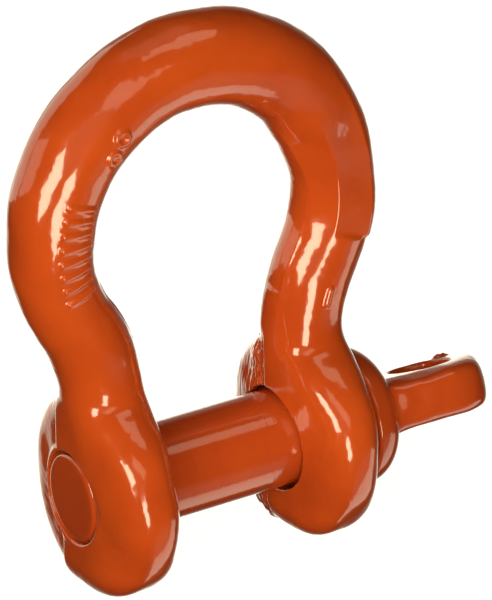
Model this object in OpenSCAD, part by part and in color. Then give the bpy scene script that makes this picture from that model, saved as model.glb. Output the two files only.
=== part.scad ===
// Screw-pin bow shackle: a round bar bent to a bow, with an ear at each end.
// The pin passes through a plain ear and screws into a threaded one.
// Origin: on the pin's axis, midway between the ears. +X runs to the pin's eye,
// +Z to the crown, and Y is square to the plane of the bow. Millimetres.

/* [Bow] */
// Diameter of the bar between the crown and the ears
bar_d = 16; // [14:0.1:17]
// Diameter of the bar at the top of the crown
crown_bar_d = 18.4; // [16:0.1:20]
// Radius of the crown, to the middle of the bar
crown_r = 30.3; // [29:0.1:33]
// Height of the crown's centre above the pin's axis
crown_z = 50.2; // [46:0.1:54]
// Radius of the reverse bend above each ear, to the middle of the bar
waist_r = 32; // [20:0.5:34]

/* [Ears] */
// Clear width between the ears
jaw_w = 28.2; // [26:0.1:30]
// Diameter of an ear, seen along the pin
ear_d = 41.2; // [38:0.1:43]
// Squareness of an ear's section: 2 is an ellipse, more is flatter
ear_square = 2.65; // [2:0.05:3.5]

/* [Pin] */
// Diameter of the shank between the ears
pin_d = 19; // [18.8:0.1:19.2]
// Diameter of the shank where it passes through the plain ear and the collar
root_d = 19.4; // [19.3:0.1:19.8]
// Hole in the plain ear
plain_hole_d = 20.6; // [20:0.1:21.4]
// Distance from the pin's end to the outer face of the threaded ear
end_recess = 0.1; // [0:0.1:2]

/* [Thread] */
// Diameter over the thread's crests
thread_d = 17.8; // [16:0.1:18.6]
// Advance in one turn
pitch = 2.5; // [2:0.25:3]
// How much larger the threaded hole is than the thread, on the radius
thread_play = 0.25; // [0.2:0.01:0.35]

/* [Collar] */
// Diameter of the collar
collar_d = 27.8; // [25:0.1:30]
// Thickness of the collar, from its flat face to the top of its dome
collar_t = 7.4; // [5:0.1:8]
// Gap between the collar and the ear with the pin home
collar_gap = 0.35; // [0.3:0.05:1]

/* [Eye] */
// Width of the eye
eye_w = 24.4; // [22:0.1:26]
// Thickness of the eye
eye_t = 10.5; // [9:0.1:12]
// Diameter of the hole through the eye
eye_hole_d = 12.6; // [10:0.1:13]
// Distance from the collar's flat face to the hole's centre
eye_reach = 19.5; // [17:0.1:20]
// Distance from the hole's centre to the end of the eye
eye_end = 10.8; // [10:0.1:13]
// Angle of the eye about the pin with the pin home
eye_turn = -21; // [-45:1:45]

/* [Hidden] */
$fn = 96;

paint = [0.76, 0.26, 0.08];
paint_dark = [0.68, 0.22, 0.06];

bar_r = bar_d / 2;
ear_r = ear_d / 2;
ear_t = bar_d;
ear_x = (jaw_w + ear_t) / 2;
face_x = jaw_w / 2 + ear_t;

// The reverse bend meets the crown at this angle below the level of the crown's centre
waist_a = acos((ear_x + waist_r) / (crown_r + waist_r));
waist_z = crown_z - (crown_r + waist_r) * sin(waist_a);

// Points round a section and stations along the bow
ring_n = 28;
crown_steps = 30;
waist_steps = 8;
ear_steps = 9;
// Half size at which a rounded end closes
tip_r = 0.3;
// A higher power makes a tighter fillet between the bar and the ear
fillet_power = 5.9;

// The thread: a trapezium that winds round the pin, and runs on by some turns past the ear
thread_depth = 0.6 * pitch;
crest_w = pitch / 8;
thread_steps = 24;
thread_lead_in = 2;

// The shank's root turns in the collar with this play on the radius
running_play = 0.05;
// The shank's shoulders stand this far inside the jaw
shoulder = 0.3;
collar_x = face_x + collar_gap;
// Chamfer round the collar's flat face, below the dome
dome_base = 0.6;
// Squareness of the dome, and the part of the rim's radius that it leaves flat at the top
dome_square = 2.2;
dome_flat = 0.4;

// The neck flares toward the collar in thickness and tapers toward it in width
neck_r = 8.6;
neck_flare = 3;
neck_taper = 3.5;
neck_steps = 12;
// Squareness of the eye's section and of its end
eye_square = 5;
eye_plan_square = 2.4;
end_steps = 9;

hole_chamfer = 0.4;
tip_chamfer = 1.4;
// A cutter runs past what it cuts by this much
overlap = 1;

function mirrored(list) = [for (i = [len(list) - 1 : -1 : 0]) list[i]];
function signed_pow(v, power) = sign(v) * pow(abs(v), power);

// Points of a closed oval with half sizes a and b; squareness 2 is an ellipse
function oval(a, b, squareness) = [
    for (i = [0 : ring_n - 1])
        let (t = 360 * i / ring_n)
        [a * signed_pow(cos(t), 2 / squareness), b * signed_pow(sin(t), 2 / squareness)]
];

// Skins a list of rings, each with the same number of points, and caps both ends
module skin(rings) {
    n = len(rings[0]);
    last = (len(rings) - 1) * n;
    sides = [
        for (j = [0 : n : last - n], i = [0 : n - 1])
            let (k = (i + 1) % n)
            each [[j + i, j + k, j + n + k], [j + i, j + n + k, j + n + i]]
    ];
    caps = [[for (i = [n - 1 : -1 : 0]) i], [for (i = [0 : n - 1]) last + i]];
    polyhedron([for (r = rings) each r], concat(sides, caps));
}

// ---- Bow ----

// A station of the bow's right half: x, z and the angle of its outward direction
function crown_station(a) = [crown_r * cos(a), crown_z + crown_r * sin(a), a];
function waist_station(a) = [ear_x + waist_r * (1 - cos(a)), waist_z + waist_r * sin(a), -a];
function ear_station(z) = [ear_x, z, 0];

stations = [
    for (i = [0 : crown_steps]) crown_station(90 - (90 + waist_a) * i / crown_steps),
    for (i = [1 : waist_steps]) waist_station(waist_a * (1 - i / waist_steps)),
    for (i = [1 : ear_steps]) ear_station(waist_z * (1 - i / ear_steps)),
    for (i = [1 : ear_steps]) ear_station(-ear_r * sin(90 * i / ear_steps))
];

// Half the ear's width at height z, as a disc
function disc_y(z) = abs(z) < ear_r ? sqrt(ear_r * ear_r - z * z) : 0;

// Half the section's width along Y: the disc of the ear runs into the bar with a fillet
function half_y(z) =
    z > crown_z ? bar_r + (crown_bar_d / 2 - bar_r) * (z - crown_z) / crown_r :
    z > 0 ? pow(pow(bar_r, fillet_power) + pow(disc_y(z), fillet_power), 1 / fillet_power) :
    max(tip_r, disc_y(z));

// Half the section's thickness in the plane of the bow: the ear's lower edge is round
function half_n(z) =
    z > crown_z ? half_y(z) :
    z > bar_r - ear_r ? bar_r :
    max(tip_r, sqrt(max(0, pow(bar_r, 2) - pow(z + ear_r - bar_r, 2))));

// The section is round in the bar and flatter in the ear
function squareness(z) =
    z > ear_r ? 2 : z < 0 ? ear_square : 2 + (ear_square - 2) * (half_y(z) - bar_r) / (ear_r - bar_r);

function bow_ring(s, side) = [
    for (p = oval(half_n(s[1]), half_y(s[1]), squareness(s[1])))
        [side * (s[0] + p[0] * cos(s[2])), p[1], s[1] + p[0] * sin(s[2])]
];

module bow_bar() {
    left = [for (s = mirrored(stations)) bow_ring(s, -1)];
    right = [for (i = [1 : len(stations) - 1]) bow_ring(stations[i], 1)];
    skin(concat(left, right));
}

// A cylinder or cone along +X from x
module along_x(x, length, r_start, r_end) {
    translate([x, 0, 0]) rotate([0, 90, 0]) cylinder(h = length, r1 = r_start, r2 = r_end);
}

module plain_hole() {
    r = plain_hole_d / 2;
    inner_x = jaw_w / 2;
    along_x(inner_x - overlap, ear_t + 2 * overlap, r, r);
    along_x(inner_x - overlap, overlap + hole_chamfer, r + overlap + hole_chamfer, r);
    along_x(face_x - hole_chamfer, overlap + hole_chamfer, r, r + overlap + hole_chamfer);
}

module threaded_hole() {
    r = thread_d / 2 + thread_play;
    screw_thread(r - thread_depth, r);
    along_x(-face_x - overlap, 2 * overlap + hole_chamfer, r + overlap + hole_chamfer, r - overlap);
    along_x(-jaw_w / 2 - hole_chamfer, overlap + hole_chamfer, r - hole_chamfer, r + overlap);
}

module bow() {
    color(paint) difference() {
        bow_bar();
        plain_hole();
        threaded_hole();
    }
}

// ---- Thread ----

// A right-hand thread along the threaded ear, running past both of its faces.
// Each step holds the trapezium's four corners, and the steps climb one pitch a turn.
module screw_thread(root_r, crest_r) {
    flank_w = (pitch - 2 * crest_w) / 2;
    crest_start = crest_w + flank_w;
    corners = [[root_r, 0], [root_r, crest_w], [crest_r, crest_start], [crest_r, crest_start + crest_w]];
    m = len(corners);
    n = thread_steps;
    steps = n * ceil(ear_t / pitch + 2 * thread_lead_in);
    winding = [
        for (s = [0 : steps], c = corners)
            let (a = 360 * s / n)
            [c[0] * cos(a), c[0] * sin(a), c[1] + pitch * s / n]
    ];
    start = len(winding);
    end = start + 1;
    points = concat(winding, [[0, 0, 0], [0, 0, pitch * (steps / n + 1)]]);
    flanks = [
        for (s = [0 : steps - 1], j = [0 : m - 2])
            let (a = s * m + j, b = a + m)
            each [[a, b + 1, b], [a, a + 1, b + 1]]
    ];
    // the last corner of a step meets the first corner of the step one turn on
    next_turn = [
        for (s = [0 : steps - n - 1])
            let (a = s * m + m - 1, b = a + m, c = (s + n) * m, d = c + m)
            each [[a, d, b], [a, c, d]]
    ];
    start_fan = [for (s = [0 : n - 1]) [start, s * m, (s + 1) * m]];
    start_wall = concat([start, n * m], [for (j = [m - 1 : -1 : 0]) j]);
    end_fan = [for (s = [steps - n : steps - 1]) [end, (s + 1) * m + m - 1, s * m + m - 1]];
    end_wall = concat([end, (steps - n) * m + m - 1], [for (j = [0 : m - 1]) steps * m + j]);
    translate([-face_x - thread_lead_in * pitch, 0, 0]) rotate([0, 90, 0])
        polyhedron(points, concat(flanks, next_turn, start_fan, [start_wall], end_fan, [end_wall]));
}

// ---- Pin ----

// The collar with no hole, as a solid of revolution from its flat face to its dome
module collar_dome() {
    rim_r = collar_d / 2;
    flat_r = rim_r * dome_flat;
    dome_h = collar_t - dome_base;
    dome = [
        for (t = [0 : 6 : 90])
            let (r = flat_r + (rim_r - flat_r) * pow(cos(t), 2 / dome_square))
            [r, dome_base + dome_h * pow(sin(t), 2 / dome_square)]
    ];
    translate([collar_x, 0, 0]) rotate([0, 90, 0]) rotate_extrude()
        polygon(concat([[0, 0], [rim_r - dome_base, 0]], dome, [[0, collar_t]]));
}

// The collar with a hole that is larger than the shank's root by play on the radius
module collar_ring(play) {
    r = root_d / 2 + play;
    difference() {
        collar_dome();
        along_x(collar_x - overlap, collar_t + 2 * overlap, r, r);
    }
}

module pin_collar() {
    color(paint_dark) collar_ring(running_play);
}

// The shank carries the load between the ears. Its root ends in the collar's dome,
// so that the two make one surface.
module shank() {
    half_w = jaw_w / 2 - shoulder;
    root_r = root_d / 2;
    along_x(-half_w, 2 * half_w, pin_d / 2, pin_d / 2);
    along_x(half_w, collar_x + dome_base - half_w, root_r, root_r);
    intersection() {
        collar_dome();
        along_x(collar_x, collar_t + overlap, root_r, root_r);
    }
}

module threaded_end() {
    tip_x = -face_x + end_recess;
    crest_r = thread_d / 2;
    intersection() {
        screw_thread(crest_r - thread_depth, crest_r);
        union() {
            along_x(tip_x, 2 * tip_chamfer, crest_r - tip_chamfer, crest_r + tip_chamfer);
            along_x(tip_x + 2 * tip_chamfer, ear_t, pin_d / 2, pin_d / 2);
        }
    }
}

// Half sizes of the neck and eye at a distance d from the collar's flat face
function eye_half_t(d) = eye_t / 2 + (neck_r - eye_t / 2) * exp((dome_base - d) / neck_flare);
function eye_half_w(d) =
    let (past = max(0, d - eye_reach) / eye_end)
    let (short = max(0, 1 - d / eye_reach))
    let (half_w = eye_w / 2 - neck_taper * pow(short, 2))
    max(tip_r, half_w * pow(max(0, 1 - pow(past, eye_plan_square)), 1 / eye_plan_square));

module neck_and_eye() {
    along = [
        for (i = [0 : neck_steps]) dome_base + (eye_reach - dome_base) * i / neck_steps,
        for (i = [1 : end_steps]) eye_reach + eye_end * sin(90 * i / end_steps)
    ];
    rotate([eye_turn, 0, 0]) difference() {
        skin([for (d = along)
            [for (p = oval(eye_half_w(d), eye_half_t(d), eye_square)) [collar_x + d, -p[0], p[1]]]]);
        translate([running_play, 0, 0]) collar_ring(0);
        translate([collar_x + eye_reach, 0, 0]) cylinder(h = 4 * eye_t, d = eye_hole_d, center = true);
    }
}

module screw_pin() {
    color(paint) union() {
        shank();
        threaded_end();
        neck_and_eye();
    }
}

bow();
pin_collar();
screw_pin();
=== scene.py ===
import math

import bmesh
import bpy
import numpy as np
from mathutils import Matrix, Vector


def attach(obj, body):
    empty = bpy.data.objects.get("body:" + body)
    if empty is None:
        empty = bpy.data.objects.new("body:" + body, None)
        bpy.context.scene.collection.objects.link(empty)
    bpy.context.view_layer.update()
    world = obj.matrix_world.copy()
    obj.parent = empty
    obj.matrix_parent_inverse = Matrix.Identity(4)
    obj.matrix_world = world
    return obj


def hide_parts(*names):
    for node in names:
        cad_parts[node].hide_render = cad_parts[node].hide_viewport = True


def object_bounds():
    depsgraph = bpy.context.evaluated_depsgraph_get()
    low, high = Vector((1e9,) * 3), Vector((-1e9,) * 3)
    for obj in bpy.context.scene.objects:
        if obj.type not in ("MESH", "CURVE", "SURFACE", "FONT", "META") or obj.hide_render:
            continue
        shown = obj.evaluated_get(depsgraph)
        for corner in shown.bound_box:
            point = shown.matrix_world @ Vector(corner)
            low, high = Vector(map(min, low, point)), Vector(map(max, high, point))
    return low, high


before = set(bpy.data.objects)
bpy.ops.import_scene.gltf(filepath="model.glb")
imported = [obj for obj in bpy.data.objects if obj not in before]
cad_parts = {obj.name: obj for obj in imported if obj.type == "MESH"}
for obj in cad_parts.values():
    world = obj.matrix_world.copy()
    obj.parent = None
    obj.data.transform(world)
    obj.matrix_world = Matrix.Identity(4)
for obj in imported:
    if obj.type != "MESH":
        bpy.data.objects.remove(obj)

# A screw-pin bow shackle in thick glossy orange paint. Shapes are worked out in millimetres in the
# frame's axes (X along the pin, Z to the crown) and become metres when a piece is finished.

CAD_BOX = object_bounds()
MM = 0.001

# ---- Sizes, as the CAD model has them ----

BAR_R = 8.0
CROWN_BAR_R = 9.2
CROWN_R = 30.3
CROWN_Z = 50.2
WAIST_R = 32.0
JAW = 28.2
EAR_R = 20.6
EAR_SQUARE = 2.65
FILLET_POWER = 5.9
EAR_X = JAW / 2 + BAR_R
FACE_X = JAW / 2 + 2 * BAR_R
WAIST_A = math.acos((EAR_X + WAIST_R) / (CROWN_R + WAIST_R))
WAIST_Z = CROWN_Z - (CROWN_R + WAIST_R) * math.sin(WAIST_A)
# Distances along the bar from the crown at which the waist and the straight ear start
WAIST_START = CROWN_R * (math.pi / 2 + WAIST_A)
EAR_START = WAIST_START + WAIST_R * WAIST_A
# Half size at which a rounded end closes
TIP_R = 0.3

PIN_R = 9.5
ROOT_R = 9.7
PLAIN_HOLE_R = 10.3
END_RECESS = 0.1
TIP_CHAMFER = 1.4
SHOULDER = 0.3
THREAD_R = 8.9
PITCH = 2.5
THREAD_DEPTH = 0.6 * PITCH
THREAD_PLAY = 0.25
TAPPED_R = THREAD_R + THREAD_PLAY

COLLAR_R = 13.9
COLLAR_T = 7.4
COLLAR_GAP = 0.35
COLLAR_X = FACE_X + COLLAR_GAP
RUNNING_PLAY = 0.05
DOME_BASE = 0.6
DOME_SQUARE = 2.2
DOME_FLAT = 0.4

EYE_HALF_W = 12.2
EYE_HALF_T = 5.25
EYE_HOLE_R = 6.3
EYE_REACH = 19.5
EYE_END = 10.8
EYE_TURN = math.radians(-21)
EYE_SQUARE = 5.0
EYE_PLAN_SQUARE = 2.4
NECK_R = 8.6
NECK_FLARE = 3.0
NECK_TAPER = 3.5

# ---- Sizes of the forging's relief ----

# A flat is given by the angle that it faces, in degrees about the bar, and its distance from the
# bar's middle. 0 degrees is outward from the bow and -90 is its front.
PAD_TURN = -86.3
PAD_DEPTH = 7.24
PAD_RISE = 0.55
FACET_TURN = -132
FACET_DEPTH = 7.5
FLAT_BLEND = 0.04

# The parting line's place across the bar, which is negative at the front, and the distance along
# the bar of the cross-line that it ends in
SEAM_ACROSS = -2.7
CROSS_LINE = 71.0

MARK_HEIGHT = 0.45
MARK_EDGE = 0.35
RIB_COUNT = 8
RIB_START = 37.0
RIB_PITCH = 2.6
RING_R = 1.3
RINGS = [(21.5, -1.4), (25.6, -2.9)]

# Lumps of the forging and of its paint: height, wavelength and seed
BOW_LUMPS = [(0.10, 15, 1), (0.03, 7, 2), (0.006, 2, 3)]
EYE_LUMPS = [(0.05, 13, 5), (0.03, 6, 6), (0.006, 2, 8)]

# ---- Detail of the meshes ----

BOW_VOXEL = 0.32
EYE_VOXEL = 0.3
BOW_COLUMNS = 144
PIN_COLUMNS = 144
EYE_COLUMNS = 96
COLLAR_COLUMNS = 200
CUTTER_COLUMNS = 160
CROWN_STEPS = 150
# Steps along each other part of the bow, and along the neck and the end of the eye
STEPS = 40
THREAD_STEP = 0.12
SHANK_STEP = 0.22


# ---- Mesh helpers ----

def make_object(name, points, faces):
    """A mesh object from points in millimetres."""
    mesh = bpy.data.meshes.new(name)
    mesh.from_pydata(np.asarray(points).reshape(-1, 3).tolist(), [], faces)
    mesh.update()
    obj = bpy.data.objects.new(name, mesh)
    bpy.context.scene.collection.objects.link(obj)
    return obj


def quads(rows, columns, closed=False):
    """Faces between rows of points that close on themselves. The last row may join the first."""
    i = np.arange(rows if closed else rows - 1)[:, None]
    j = np.arange(columns)[None, :]
    k = (j + 1) % columns
    near = i * columns
    far = (i + 1) % rows * columns
    return np.stack([near + j, near + k, far + k, far + j], -1).reshape(-1, 4).tolist()


def skin(name, rings):
    """A closed solid through rings of points, each with the same count, with a cap at each end."""
    rows, columns = len(rings), len(rings[0])
    last = (rows - 1) * columns
    caps = [list(range(columns))[::-1], list(range(last, last + columns))]
    return make_object(name, rings, quads(rows, columns) + caps)


def circle(columns):
    """Cosines and sines of even steps round a circle."""
    t = np.linspace(0, 2 * math.pi, columns, endpoint=False)
    return np.cos(t), np.sin(t)


def quarter(steps):
    """Angles from nothing to a right angle."""
    return np.linspace(0, math.pi / 2, steps)


def revolved_rings(profile, columns):
    """Rings about X through (x, radius) points."""
    c, s = circle(columns)
    return [np.stack([np.full(columns, x), r * c, r * s], -1) for x, r in profile]


def oval(a, b, square, count):
    """A closed oval with half sizes a and b; squareness 2 is an ellipse."""
    c, s = circle(count)
    stretch = (np.abs(c) ** square + np.abs(s) ** square) ** (-1 / square)
    return a * c * stretch, b * s * stretch


def bore_cutter(low, high, radius, lip):
    """A cutter for a hole along X through a wall from low to high, flared to leave round lips."""
    upper = [(high - lip + lip * math.sin(a), radius + lip * (1 - math.cos(a))) for a in quarter(8)]
    lower = [(low + high - x, r) for x, r in reversed(upper)]
    past, flare = 3, 2
    ends = [(low - past, lower[0][1] + flare), (high + past, upper[-1][1] + flare)]
    profile = [ends[0]] + lower + upper + [ends[1]]
    return skin("cutter", revolved_rings(profile, CUTTER_COLUMNS))


def apply_modifiers(obj):
    """Replaces the object's mesh with what its modifiers make of it."""
    graph = bpy.context.evaluated_depsgraph_get()
    mesh = bpy.data.meshes.new_from_object(obj.evaluated_get(graph))
    obj.modifiers.clear()
    obj.data = mesh


def combine(obj, other, operation):
    """Adds or cuts away another object, which is used up."""
    boolean = obj.modifiers.new("combine", "BOOLEAN")
    boolean.operation = operation
    boolean.solver = "EXACT"
    boolean.object = other
    apply_modifiers(obj)
    bpy.data.objects.remove(other)


def clean_seam(obj):
    """Removes points with only two edges, which a union leaves along its seam."""
    work = bmesh.new()
    work.from_mesh(obj.data)
    bmesh.ops.dissolve_verts(work, verts=[v for v in work.verts if len(v.link_edges) == 2])
    work.to_mesh(obj.data)
    work.free()


def remesh(obj, voxel):
    """Even quads of the given size all over the object."""
    modifier = obj.modifiers.new("remesh", "REMESH")
    modifier.mode = "VOXEL"
    modifier.voxel_size = voxel
    apply_modifiers(obj)


def get_points(obj):
    points = np.empty(len(obj.data.vertices) * 3)
    obj.data.vertices.foreach_get("co", points)
    return points.reshape(-1, 3)


def set_points(obj, points):
    obj.data.vertices.foreach_set("co", points.ravel())
    obj.data.update()


def get_normals(obj):
    normals = np.empty(len(obj.data.vertices) * 3)
    obj.data.vertex_normals.foreach_get("vector", normals)
    return normals.reshape(-1, 3)


def raise_points(obj, points, relief):
    """Points moved along the object's normals by the relief, one number a point."""
    return points + get_normals(obj) * relief[:, None]


def edge_table(obj):
    """The two points of each edge, and how many edges each point has."""
    edges = np.empty(len(obj.data.edges) * 2, dtype=int)
    obj.data.edges.foreach_get("vertices", edges)
    count = np.bincount(edges, minlength=len(obj.data.vertices))[:, None]
    return edges.reshape(-1, 2), count


def neighbour_mean(points, edges, count):
    total = np.zeros_like(points)
    for axis in range(3):
        total[:, axis] = np.bincount(edges[:, 0], points[edges[:, 1], axis], len(points))
        total[:, axis] += np.bincount(edges[:, 1], points[edges[:, 0], axis], len(points))
    return total / count


def relax(obj, rounds):
    """Smooths with a step in and a step back out, so that the solid keeps its size."""
    edges, count = edge_table(obj)
    points = get_points(obj)
    for _ in range(rounds):
        for amount in (0.5, -0.52):
            points += amount * (neighbour_mean(points, edges, count) - points)
    set_points(obj, points)


def soften(obj, weight, rounds):
    """Smooths only where the weight, one number a point, is above nothing."""
    edges, count = edge_table(obj)
    points = get_points(obj)
    for _ in range(rounds):
        points += 0.5 * weight[:, None] * (neighbour_mean(points, edges, count) - points)
    set_points(obj, points)


def finish_piece(obj, material, slot, body, *nodes):
    """Shades, scales to metres, paints and hands over one piece to the frame."""
    obj.data.transform(Matrix.Scale(MM, 4))
    for polygon in obj.data.polygons:
        polygon.use_smooth = True
    obj.data.materials.clear()
    obj.data.materials.append(material)
    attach(obj, body)
    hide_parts(*nodes)


# ---- Functions of a place ----

def smooth_step(low, high, value):
    """From 0 at the low limit to 1 at the high one."""
    t = np.clip((value - low) / (high - low), 0, 1)
    return t * t * (3 - 2 * t)


def window(low, high, edge, value):
    """1 between two limits, with soft edges."""
    return smooth_step(low - edge, low + edge, value) * (1 - smooth_step(high - edge, high + edge, value))


def ridge(centre, width, value):
    """1 at the centre, falling away on both sides like a bell."""
    return np.exp(-((value - centre) / width) ** 2)


def soft_minimum(a, b, blend):
    return (a + b - np.sqrt((a - b) ** 2 + blend ** 2)) / 2


def flattened(radius, turn, facing, depth):
    """The radius of a round bar at a turn, after a flat is cut on it that faces one angle."""
    share = np.maximum(np.cos(np.radians(turn - facing)), 0.1)
    return soft_minimum(radius, depth / share, FLAT_BLEND)


def lumps(points, wavelength, seed):
    """Smooth random hills and hollows of about unit height, from plane waves in all directions."""
    waves = 40
    rng = np.random.default_rng(seed)
    directions = rng.normal(size=(waves, 3))
    directions /= np.linalg.norm(directions, axis=1)[:, None]
    lengths = wavelength * rng.uniform(0.7, 1.5, waves)
    phases = rng.uniform(0, 2 * math.pi, waves)
    total = np.zeros(len(points))
    for direction, length, phase in zip(directions, lengths, phases):
        total += np.cos(points @ direction * (2 * math.pi / length) + phase)
    return total * math.sqrt(2 / waves)


def layered_lumps(points, layers):
    """Lumps of several sizes over one another."""
    return sum(height * lumps(points, wavelength, seed) for height, wavelength, seed in layers)


def thread_height(x, y, z):
    """The trapezium thread of the pin and of its ear: 0 at the root, 1 on the crest."""
    crest, flank = 1 / 8, 3 / 8
    turn = np.arctan2(y, -z) / (2 * math.pi)
    phase = ((x + FACE_X) / PITCH - turn) % 1.0
    return np.clip(np.minimum((phase - crest) / flank, (1 - phase) / flank), 0, 1)


# ---- Bow ----

def disc_y(z):
    """Half the ear's width at height z, as a disc."""
    return np.sqrt(np.clip(EAR_R ** 2 - z ** 2, 0, None))


def half_y(z):
    """Half the section's width across the bow at height z."""
    crown = BAR_R + (CROWN_BAR_R - BAR_R) * np.clip(z - CROWN_Z, 0, None) / CROWN_R
    blended = (BAR_R ** FILLET_POWER + disc_y(z) ** FILLET_POWER) ** (1 / FILLET_POWER)
    return np.where(z > CROWN_Z, crown, np.where(z > 0, blended, np.maximum(TIP_R, disc_y(z))))


def half_n(z):
    """Half the section's thickness in the plane of the bow."""
    lower = np.sqrt(np.clip(BAR_R ** 2 - (z + EAR_R - BAR_R) ** 2, 0, None))
    limb = np.where(z > BAR_R - EAR_R, BAR_R, np.maximum(TIP_R, lower))
    return np.where(z > CROWN_Z, half_y(z), limb)


def squareness(z):
    """The section is round in the bar and flatter in the ear."""
    middle = 2 + (EAR_SQUARE - 2) * (half_y(z) - BAR_R) / (EAR_R - BAR_R)
    return np.where(z > EAR_R, 2.0, np.where(z < 0, EAR_SQUARE, middle))


def bow_path():
    """Stations down the right half from the crown: x, z and the outward angle."""
    crown = [(CROWN_R * math.cos(a), CROWN_Z + CROWN_R * math.sin(a), a)
             for a in np.linspace(math.pi / 2, -WAIST_A, CROWN_STEPS)]
    waist = [(EAR_X + WAIST_R * (1 - math.cos(a)), WAIST_Z + WAIST_R * math.sin(a), -a)
             for a in np.linspace(WAIST_A, 0, STEPS)[1:]]
    upper = [(EAR_X, z, 0.0) for z in np.linspace(WAIST_Z, 0, STEPS)[1:]]
    lower = [(EAR_X, -EAR_R * math.sin(a), 0.0) for a in quarter(STEPS)[1:]]
    return np.array(crown + waist + upper + lower)


def bow_bar():
    """The bow as one skin from ear to ear, before its holes are cut."""
    right = []
    for x, z, angle in bow_path():
        u, v = oval(half_n(z), half_y(z), squareness(z), BOW_COLUMNS)
        right.append(np.stack([x + u * math.cos(angle), v, z + u * math.sin(angle)], -1))
    left = [ring * np.array([-1, 1, 1]) for ring in reversed(right)]
    return skin("bow_forging", left + right[1:])


def bow_coordinates(points):
    """Of each point: distance along the bar from the crown, and distances outward and across."""
    side, z = np.abs(points[:, 0]), points[:, 2]
    crown_turn = np.arctan2(z - CROWN_Z, side)
    waist_turn = np.arctan2(z - WAIST_Z, EAR_X + WAIST_R - side)
    in_crown = (crown_turn >= -WAIST_A) & (z > WAIST_Z)
    waist_along = WAIST_START + WAIST_R * (WAIST_A - waist_turn)
    waist_out = WAIST_R - np.hypot(z - WAIST_Z, EAR_X + WAIST_R - side)
    lower_along = np.where(z > WAIST_Z, waist_along, EAR_START + WAIST_Z - z)
    lower_out = np.where(z > WAIST_Z, waist_out, side - EAR_X)
    along = np.where(in_crown, CROWN_R * (math.pi / 2 - crown_turn), lower_along)
    outward = np.where(in_crown, np.hypot(side, z - CROWN_Z) - CROWN_R, lower_out)
    return along, outward, points[:, 1]


def stray_outline(along, out, right):
    """The limbs' outlines stray a little from true arcs."""
    left = ~right
    outside = smooth_step(-3, 5, out)
    stray = 0.3 * (2 * right - 1) * window(6, 28, 5, along) * outside
    stray += 0.7 * right * window(28, 42, 5, along) * (1 - outside)
    stray += left * window(38, 52, 5, along) * (0.45 * outside - 0.1)
    stray -= 0.7 * left * window(50, 66, 5, along) * (1 - outside)
    return stray


def front_flats(along, out, across, turn):
    """The right limb's flat pad, raised on its outside, and the narrow facet beside it."""
    radius = np.hypot(out, across)
    raised = smooth_step(-100, -58, turn) * (1 - smooth_step(30, 80, turn)) * smooth_step(38, 48, along)
    pad = flattened(radius + PAD_RISE * raised, turn, PAD_TURN, PAD_DEPTH) - radius
    facet = flattened(radius, turn, FACET_TURN, FACET_DEPTH) - radius
    begin = smooth_step(24, 38, along)
    pad *= begin * (1 - smooth_step(56.9, 57.8, along))
    facet *= begin * (1 - smooth_step(52.5, 60, along))
    return soft_minimum(np.minimum(pad, 0), facet, FLAT_BLEND) + np.maximum(pad, 0)


def parting_line(along, out, across):
    """The parting line down the inside of both limbs, with a cross-line below it."""
    seam = ridge(SEAM_ACROSS, 0.45, across) * window(57, CROSS_LINE, 1.5, along)
    cross_line = ridge(CROSS_LINE, 0.5, along) * window(-3, 2, 0.4, across)
    return (out < 0) * (0.16 * seam + 0.14 * cross_line)


def trimmed_ears(points, along, out, across):
    """The ears' trimmed back halves lie lower than their fronts, and are torn inside the bow."""
    ear = smooth_step(77, 82, along)
    upper_ear = 1 - smooth_step(88, 92, along)
    outer_crease = smooth_step(4.3, 4.9, across) * (1 - smooth_step(9, 17, across))
    inner_crease = smooth_step(1.2, 1.8, across) * (1 - smooth_step(8, 16, across))
    torn = smooth_step(1.6, 2.6, across) * (1 - 0.9 * smooth_step(4, 11, across))
    streaks = lumps(points * np.array([0.7, 1.5, 0.6]), 1.5, 4)
    relief = 0.14 * streaks * torn * (out < -1)
    relief -= 0.75 * outer_crease * (out > 2)
    relief -= 0.6 * inner_crease * upper_ear * (out < -2)
    return ear * relief


def full_ears(points, out, right):
    """The ears are fuller at their lower left."""
    leftward = np.where(right, -out, out)
    return 0.45 * smooth_step(0, 5, leftward) * smooth_step(10, 17, -points[:, 2])


def raised_marks(along, out, across, right):
    """A row of short ribs and two rings on the left limb's front, and a bar on the right limb's."""
    marks = right * window(67.5, 71.5, 0.4, along) * window(-0.6, 0.6, MARK_EDGE, out)
    for i in range(RIB_COUNT):
        rib = 1 - smooth_step(0.35, 0.75, np.abs(along - RIB_START - i * RIB_PITCH))
        marks += ~right * rib * window(-4.6, 2.4, MARK_EDGE, out)
    for centre, offset in RINGS:
        distance = np.hypot(along - centre, out - offset)
        marks += ~right * (1 - smooth_step(0.3, 0.7, np.abs(distance - RING_R)))
    return MARK_HEIGHT * marks * (across < 0)


def forged_relief(points):
    """How far the forging and its thick paint stand off the plain shape."""
    along, out, across = bow_coordinates(points)
    right = points[:, 0] > 0
    turn = np.degrees(np.arctan2(across, out))
    relief = layered_lumps(points, BOW_LUMPS)
    relief += stray_outline(along, out, right)
    relief += right * front_flats(along, out, across, turn)
    relief += parting_line(along, out, across)
    relief += trimmed_ears(points, along, out, across)
    relief += full_ears(points, out, right)
    relief += raised_marks(along, out, across, right)
    # trimmed flat on the outside of each waist
    relief -= 0.3 * window(68, 77, 0.6, along) * window(18, 70, 8, turn)
    return relief


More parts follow.
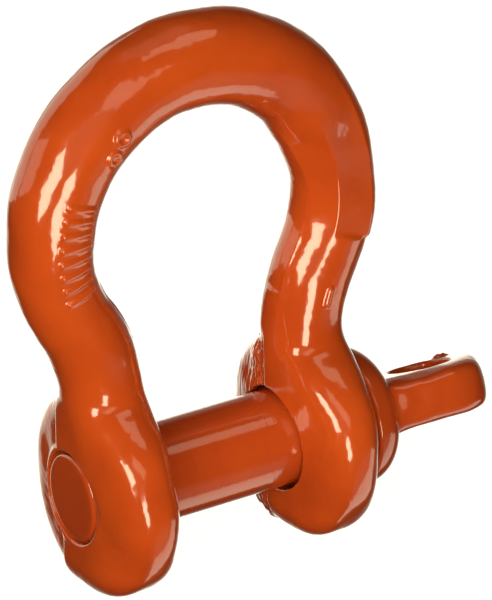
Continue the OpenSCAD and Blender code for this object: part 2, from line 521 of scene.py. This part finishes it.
def tap_thread(points, wall_points):
    """Moves points inward where they stand on the wall of the left hole, to make its thread."""
    x, y, z = wall_points.T
    radius = np.hypot(y, z)
    wall = 1 - smooth_step(TAPPED_R + 0.1, TAPPED_R + 0.4, radius)
    wall *= window(-FACE_X + 1.2, -JAW / 2 - 1.2, 0.5, x)
    inward = THREAD_DEPTH * (1 - thread_height(x, y, z)) * wall / np.maximum(radius, 1)
    points[:, 1] -= y * inward
    points[:, 2] -= z * inward


def build_bow(material):
    bow = bow_bar()
    combine(bow, bore_cutter(JAW / 2, FACE_X, PLAIN_HOLE_R, lip=0.45), "DIFFERENCE")
    combine(bow, bore_cutter(-FACE_X, -JAW / 2, TAPPED_R, lip=0.4), "DIFFERENCE")
    remesh(bow, BOW_VOXEL)
    relax(bow, rounds=4)
    # the forging runs softly from limb to ear at the front
    x, y, z = get_points(bow).T
    soften(bow, window(13, 27, 3, z) * (1 - smooth_step(0, 3, y)), rounds=110)
    # the relief fades out at the holes
    plain = get_points(bow)
    off_holes = smooth_step(9.6, 11.0, np.hypot(plain[:, 1], plain[:, 2]))
    points = raise_points(bow, plain, forged_relief(plain) * off_holes)
    tap_thread(points, plain)
    set_points(bow, points)
    finish_piece(bow, material, "bow_paint", "bow", "bow")


# ---- Pin ----

def pin_stations():
    """Stations from the pin's tip to inside the collar: x, radius and how deep the thread is cut."""
    tip_x = -FACE_X + END_RECESS
    shoulder_x = -JAW / 2 + SHOULDER
    face_r = THREAD_R - TIP_CHAMFER
    face_dome = 0.1
    tip_cut = 0.6
    # the end face is a slight dome with a rounded edge, where the thread begins
    stations = []
    for r in np.linspace(0.15, face_r - 0.3, 16):
        stations.append((tip_x - face_dome * (1 - (r / face_r) ** 4), r, 0))
    for a in quarter(18)[1:]:
        x = tip_x + TIP_CHAMFER * (1 - math.cos(a))
        r = face_r + TIP_CHAMFER * math.sin(a)
        stations.append((x, r, tip_cut * smooth_step(0.6, 1.4, a)))
    # the thread deepens after the tip and runs out at the shoulder
    for x in np.arange(tip_x + TIP_CHAMFER + THREAD_STEP, shoulder_x, THREAD_STEP):
        run_in = tip_cut + (1 - tip_cut) * smooth_step(tip_x + 1.2, tip_x + 2.4, x)
        run_out = smooth_step(shoulder_x, shoulder_x - 1.0, x)
        stations.append((x, THREAD_R, min(run_out, run_in)))
    # the shoulder, the shank and the root that the collar sits on
    stations += [(shoulder_x, THREAD_R, 0), (shoulder_x + 0.02, PIN_R - 0.2, 0), (shoulder_x + 0.2, PIN_R, 0)]
    stations += [(x, PIN_R, 0) for x in np.arange(shoulder_x + 0.7, JAW / 2 + 1.2, SHANK_STEP)]
    stations += [(x, ROOT_R, 0) for x in np.arange(JAW / 2 + 1.8, COLLAR_X + 4.5, 0.5)]
    return stations


def build_shank():
    """The pin without its eye, with faint turning marks on the shank."""
    y, z = circle(PIN_COLUMNS)
    rng = np.random.default_rng(7)
    rings = []
    for x, r, depth in pin_stations():
        mark = 0.006 * rng.normal() if r == PIN_R else 0
        radius = r + mark - THREAD_DEPTH * depth * (1 - thread_height(x, y, z))
        rings.append(np.stack([np.full(PIN_COLUMNS, x), radius * y, radius * z], -1))
    return skin("pin_with_eye", rings)


def eye_ring(d):
    """A section of the neck and eye at a distance d from the collar's flat face."""
    half_t = EYE_HALF_T + (NECK_R - EYE_HALF_T) * math.exp((DOME_BASE - d) / NECK_FLARE)
    past = max(0, d - EYE_REACH) / EYE_END
    half_w = EYE_HALF_W - NECK_TAPER * max(0, 1 - d / EYE_REACH) ** 2
    half_w *= max(0, 1 - past ** EYE_PLAN_SQUARE) ** (1 / EYE_PLAN_SQUARE)
    u, v = oval(max(TIP_R, half_w), half_t, EYE_SQUARE, EYE_COLUMNS)
    return np.stack([np.full(EYE_COLUMNS, COLLAR_X + d), u, v], -1)


def eye_relief(points, d, y, z):
    """How far the eye stands off its plain shape; d, y and z are its own axes."""
    relief = layered_lumps(points, EYE_LUMPS)
    # one side is beaten down next to the collar
    beaten = window(5, 17, 3, d) * smooth_step(6, 10, -y)
    relief += beaten * (0.05 * lumps(points, 6, 12) - 0.6 * smooth_step(-1.5, 5, z))
    # a blob of flash left on the hole's rim
    reach = np.hypot((d - EYE_REACH - 8.2) / 1.8, y - 4.2)
    blob = np.where(z > 0, 1 - smooth_step(0.4, 1.5, reach), 0)
    relief += blob * (0.6 + 0.12 * lumps(points, 1.2, 9))
    return relief * smooth_step(4, 8, d)


def build_eye():
    """The eye and its neck, which runs into the shank inside the collar."""
    distances = list(np.linspace(1.2, EYE_REACH, STEPS))
    distances += [EYE_REACH + EYE_END * math.sin(a) for a in quarter(STEPS)[1:]]
    eye = skin("eye", [eye_ring(d) for d in distances])
    drill = bore_cutter(-EYE_HALF_T, EYE_HALF_T, EYE_HOLE_R, lip=0.8)
    upright = Matrix.Rotation(-math.pi / 2, 4, "Y")
    drill.data.transform(Matrix.Translation((COLLAR_X + EYE_REACH, 0, 0)) @ upright)
    combine(eye, drill, "DIFFERENCE")
    eye.data.transform(Matrix.Rotation(EYE_TURN, 4, "X"))
    remesh(eye, EYE_VOXEL)
    relax(eye, rounds=5)
    points = get_points(eye)
    x, y, z = (points @ np.array(Matrix.Rotation(EYE_TURN, 3, "X"))).T
    d = x - COLLAR_X
    relief = eye_relief(points, d, y, z)
    # the end bulges a little between its top and bottom faces
    points[:, 0] -= 0.9 * smooth_step(EYE_REACH, EYE_REACH + EYE_END, d) * (z / EYE_HALF_T) ** 2
    set_points(eye, raise_points(eye, points, relief))
    return eye


def build_pin(material):
    pin = build_shank()
    combine(pin, build_eye(), "UNION")
    clean_seam(pin)
    finish_piece(pin, material, "pin_paint", "pin", "screw_pin")


# ---- Collar ----

def collar_outline():
    """The collar's section as (x, radius) points: flat face, chamfer, dome and bore."""
    bore = ROOT_R + RUNNING_PLAY
    outline = [(COLLAR_X + 0.25, bore), (COLLAR_X, bore + 0.3)]
    outline += [(COLLAR_X, r) for r in np.linspace(bore + 0.8, COLLAR_R - DOME_BASE, 8)]
    for a in quarter(6)[1:-1]:
        x = COLLAR_X + DOME_BASE * (1 - math.cos(a))
        outline.append((x, COLLAR_R - DOME_BASE + DOME_BASE * math.sin(a)))
    for a in quarter(90):
        r = COLLAR_R * (DOME_FLAT + (1 - DOME_FLAT) * math.cos(a) ** (2 / DOME_SQUARE))
        x = COLLAR_X + DOME_BASE + (COLLAR_T - DOME_BASE) * math.sin(a) ** (2 / DOME_SQUARE)
        if r > bore:
            outline.append((x, r))
    outline.append((outline[-1][0] + 0.02, bore))
    return outline


def build_collar(material):
    rings = revolved_rings(collar_outline(), COLLAR_COLUMNS)
    collar = make_object("collar_ring", rings, quads(len(rings), COLLAR_COLUMNS, closed=True))
    finish_piece(collar, material, "pin_paint", "collar", "pin_collar")


# ---- Paint ----

BOW_TINT = (0.56, 0.076, 0.010)
PIN_TINT = (0.50, 0.065, 0.010)
# Position and share of the tint's red, green and blue in the darkest and lightest clouds
CLOUD_TONES = [(0.3, (0.86, 0.8, 0.9)), (0.7, (1.06, 1.1, 1.1))]


def add_noise(tree, scale, detail):
    """Noise that stays with the piece as it moves."""
    coordinates = tree.nodes.new("ShaderNodeTexCoord")
    noise = tree.nodes.new("ShaderNodeTexNoise")
    noise.inputs["Scale"].default_value = scale
    noise.inputs["Detail"].default_value = detail
    tree.links.new(coordinates.outputs["Object"], noise.inputs["Vector"])
    return noise.outputs["Fac"]


def glossy_paint(name, tint):
    """Enamel under a clear coat, with a tint that varies in clouds and a fine orange peel."""
    material = bpy.data.materials.new(name)
    material.use_nodes = True
    tree = material.node_tree
    shader = tree.nodes["Principled BSDF"]

    ramp = tree.nodes.new("ShaderNodeValToRGB")
    for element, (position, shares) in zip(ramp.color_ramp.elements, CLOUD_TONES):
        element.position = position
        element.color = [part * share for part, share in zip(tint, shares)] + [1]
    tree.links.new(add_noise(tree, scale=60, detail=6), ramp.inputs["Fac"])
    tree.links.new(ramp.outputs["Color"], shader.inputs["Base Color"])

    bump = tree.nodes.new("ShaderNodeBump")
    bump.inputs["Strength"].default_value = 0.2
    bump.inputs["Distance"].default_value = 0.0002
    tree.links.new(add_noise(tree, scale=420, detail=3), bump.inputs["Height"])
    tree.links.new(bump.outputs["Normal"], shader.inputs["Normal"])

    shader.inputs["Roughness"].default_value = 0.16
    shader.inputs["Coat Weight"].default_value = 1.0
    shader.inputs["Coat Roughness"].default_value = 0.045
    return material


# ---- Stage ----

VIEW_AZIMUTH = math.radians(-30.22)
VIEW_ELEVATION = math.radians(23.03)
VIEW_ROLL = math.radians(2.93)
VIEW_DISTANCE = 819.3
VIEW_TARGET = Vector((10.2, 0, 29.9))
LENS = 260
SENSOR = 36

BACK = Vector((math.sin(VIEW_AZIMUTH) * math.cos(VIEW_ELEVATION),
               -math.cos(VIEW_AZIMUTH) * math.cos(VIEW_ELEVATION), math.sin(VIEW_ELEVATION)))
LEVEL = Vector((math.cos(VIEW_AZIMUTH), math.sin(VIEW_AZIMUTH), 0))
RIGHT = Matrix.Rotation(VIEW_ROLL, 3, -BACK) @ LEVEL
UP = BACK.cross(RIGHT)
STAGE_CENTRE = Vector((0, 0, 35))
LAMP_DISTANCE = 1200
# Watts that give a square metre of lamp a radiance of one
LAMP_WATTS = 4
# The floor reaches this many metres each way
FLOOR_REACH = 6.0

# Soft glows: studio direction, degrees of full and of no glow around it, radiance
AMBIENT = 0.01
GLOWS = [
    ((180, 5), 10, 28, 1.2),
    ((180, 8), 20, 48, 0.3),
    ((-162, 3), 8, 26, 0.35),
    ((0, 72), 6, 22, 0.25),
    ((100, -45), 10, 35, 0.25),
]
GLOW_COLOUR = (1.0, 0.9, 0.75, 1)
WHITE = (1, 1, 1, 1)

# Lamps: studio directions of the two ends, width in degrees, radiance, colour
WARM = (1.0, 0.86, 0.6)
PALE = (1.0, 0.88, 0.68)
SOFTBOXES = [
    ("left_lamp", (-31, 8), (-20, -16), 18, 7.5, WARM),
    ("right_lamp", (9, -19), (24, -42), 16, 7.5, WARM),
    ("low_window", (-1, 22), (31, 5), 19, 0.9, WARM),
    ("high_window", (14, 52), (60, 46), 17, 0.95, WARM),
    ("left_wall", (-123, 6), (-123, 56), 42, 0.85, PALE),
    ("left_screen", (-98, 15), (-66, 15), 16, 0.8, PALE),
    ("right_table", (110, -14), (134, -64), 26, 0.9, PALE),
    ("left_screen_low", (-151, -16), (-152, 14), 24, 0.3, PALE),
]

# Broad fills that light the paint's own colour and aren't mirrored in its gloss
FILLS = [
    ("front_fill", (-15, 12), (15, -12), 30, 3.0, PALE),
    ("back_fill", (165, 30), (195, 10), 34, 2.6, PALE),
]


def studio_direction(azimuth, elevation):
    """A fixed direction in the room: degrees to the right of and above the camera, from the object."""
    a, e = math.radians(azimuth), math.radians(elevation)
    return RIGHT * (math.cos(e) * math.sin(a)) + UP * math.sin(e) + BACK * (math.cos(e) * math.cos(a))


def placed(origin, *axes):
    """The matrix of an object at an origin in millimetres, with its X, Y and Z axes."""
    return Matrix.Translation(origin * MM) @ Matrix(axes).transposed().to_4x4()


def add_camera():
    data = bpy.data.cameras.new("camera")
    data.lens = LENS
    data.sensor_width = SENSOR
    data.clip_start = 0.05
    data.clip_end = 50
    camera = bpy.data.objects.new("camera", data)
    camera.matrix_world = placed(VIEW_TARGET + BACK * VIEW_DISTANCE, RIGHT, UP, BACK)
    bpy.context.scene.collection.objects.link(camera)
    bpy.context.scene.camera = camera


def add_softbox(name, start, end, width, radiance, colour):
    """A strip lamp between two studio directions, width in degrees."""
    first = STAGE_CENTRE + studio_direction(*start) * LAMP_DISTANCE
    last = STAGE_CENTRE + studio_direction(*end) * LAMP_DISTANCE
    middle = (first + last) / 2
    facing = (middle - STAGE_CENTRE).normalized()
    along = (last - first).normalized()
    data = bpy.data.lights.new(name, "AREA")
    data.shape = "RECTANGLE"
    data.size = math.radians(width) * LAMP_DISTANCE * MM
    data.size_y = (last - first).length * MM
    data.energy = LAMP_WATTS * radiance * data.size * data.size_y
    data.color = colour
    lamp = bpy.data.objects.new(name, data)
    lamp.matrix_world = placed(middle, facing.cross(along), along, facing)
    lamp.visible_camera = False
    bpy.context.scene.collection.objects.link(lamp)
    return lamp


def pale_floor():
    material = bpy.data.materials.new("pale_floor")
    material.use_nodes = True
    shader = material.node_tree.nodes["Principled BSDF"]
    shader.inputs["Base Color"].default_value = (0.5, 0.5, 0.5, 1)
    shader.inputs["Roughness"].default_value = 1.0
    shader.inputs["Specular IOR Level"].default_value = 0.0
    shader.inputs["Emission Color"].default_value = WHITE
    shader.inputs["Emission Strength"].default_value = 0.9
    return material


def add_floor():
    """A floor at the height of the object's lowest point, which only the camera sees."""
    low = CAD_BOX[0].z
    far = FLOOR_REACH
    corners = [(-far, -far, low), (far, -far, low), (far, far, low), (-far, far, low)]
    mesh = bpy.data.meshes.new("floor")
    mesh.from_pydata(corners, [], [(0, 1, 2, 3)])
    mesh.materials.append(pale_floor())
    floor = bpy.data.objects.new("floor", mesh)
    floor.visible_glossy = False
    floor.visible_diffuse = False
    floor.visible_shadow = False
    bpy.context.scene.collection.objects.link(floor)


def calculate(tree, operation, first, second):
    """A maths node's output. The first input may be a plain number."""
    node = tree.nodes.new("ShaderNodeMath")
    node.operation = operation
    if isinstance(first, float):
        node.inputs[0].default_value = first
    else:
        tree.links.new(first, node.inputs[0])
    tree.links.new(second, node.inputs[1])
    return node.outputs[0]


def add_glow(tree, seen, direction, inner, outer, radiance):
    """The light of one glow in the direction seen, fading from its inner to its outer angle."""
    dot = tree.nodes.new("ShaderNodeVectorMath")
    dot.operation = "DOT_PRODUCT"
    dot.inputs[1].default_value = studio_direction(*direction)
    tree.links.new(seen, dot.inputs[0])
    fade = tree.nodes.new("ShaderNodeMapRange")
    fade.interpolation_type = "SMOOTHSTEP"
    fade.inputs["From Min"].default_value = math.cos(math.radians(outer))
    fade.inputs["From Max"].default_value = math.cos(math.radians(inner))
    fade.inputs["To Max"].default_value = radiance
    tree.links.new(dot.outputs["Value"], fade.inputs["Value"])
    return fade.outputs["Result"]


def set_world():
    """A dark room with broad soft glows, brightest behind the object, and plain white to the camera."""
    world = bpy.data.worlds.new("studio")
    world.use_nodes = True
    bpy.context.scene.world = world
    tree = world.node_tree
    background = tree.nodes["Background"]
    seen = tree.nodes.new("ShaderNodeTexCoord").outputs["Generated"]
    to_camera = tree.nodes.new("ShaderNodeLightPath").outputs["Is Camera Ray"]
    light = AMBIENT
    for glow in GLOWS:
        light = calculate(tree, "ADD", light, add_glow(tree, seen, *glow))
    tree.links.new(calculate(tree, "MAXIMUM", to_camera, light), background.inputs["Strength"])
    tint = tree.nodes.new("ShaderNodeMix")
    tint.data_type = "RGBA"
    # a mix node's colours are its inputs 6 and 7 and its output 2
    tint.inputs[6].default_value = GLOW_COLOUR
    tint.inputs[7].default_value = WHITE
    tree.links.new(to_camera, tint.inputs["Factor"])
    tree.links.new(tint.outputs[2], background.inputs["Color"])


bpy.context.scene.view_settings.view_transform = "Standard"
add_camera()
add_floor()
set_world()
for softbox in SOFTBOXES:
    add_softbox(*softbox)
for fill in FILLS:
    add_softbox(*fill).visible_glossy = False
bow_paint = glossy_paint("bow_paint", BOW_TINT)
pin_paint = glossy_paint("pin_paint", PIN_TINT)
build_bow(bow_paint)
build_collar(pin_paint)
build_pin(pin_paint)
